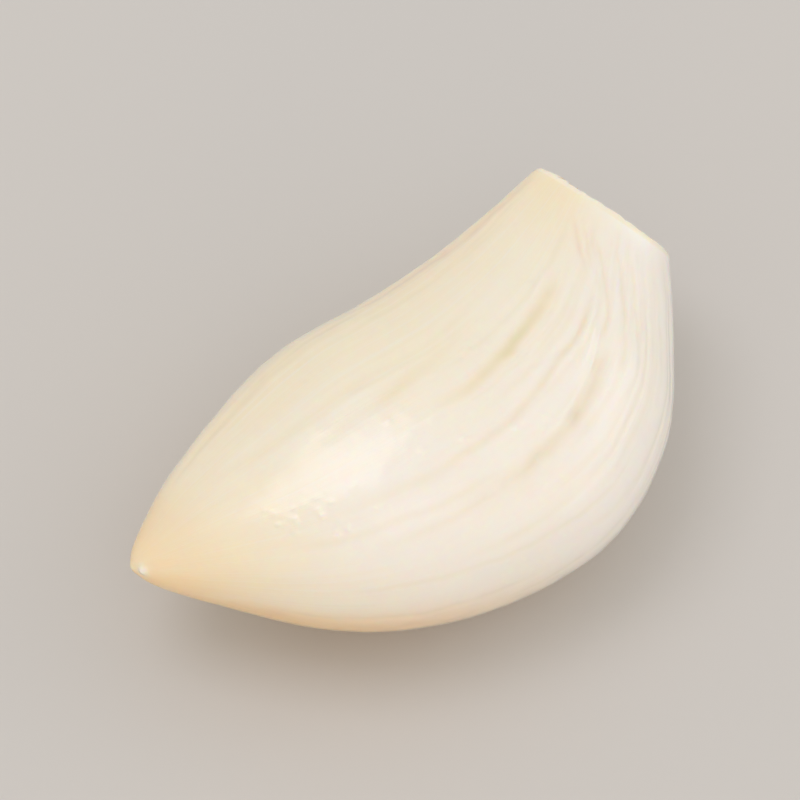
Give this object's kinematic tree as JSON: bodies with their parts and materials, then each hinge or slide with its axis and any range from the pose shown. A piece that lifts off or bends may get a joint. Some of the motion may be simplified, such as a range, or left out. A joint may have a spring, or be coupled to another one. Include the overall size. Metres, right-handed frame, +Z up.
{
  "type": "peeled garlic clove",
  "caption": "Whole peeled garlic clove lying on one flank: straight ridge, arched belly, blunt tip, root plate and fine grooves fanning over the upper flank.",
  "frame": {"origin": "middle of the bounding box's bottom, inside the small flat resting spot", "axes": "+X along the clove towards its root plate, +Y towards the straight ridge, +Z up"},
  "size_m": [0.0362, 0.021, 0.0149],
  "materials": {
    "garlic_flesh": "moist, waxy satin"
  },
  "bodies": {
    "root": {"garlic_clove": "garlic_flesh"}
  },
  "joints": []
}
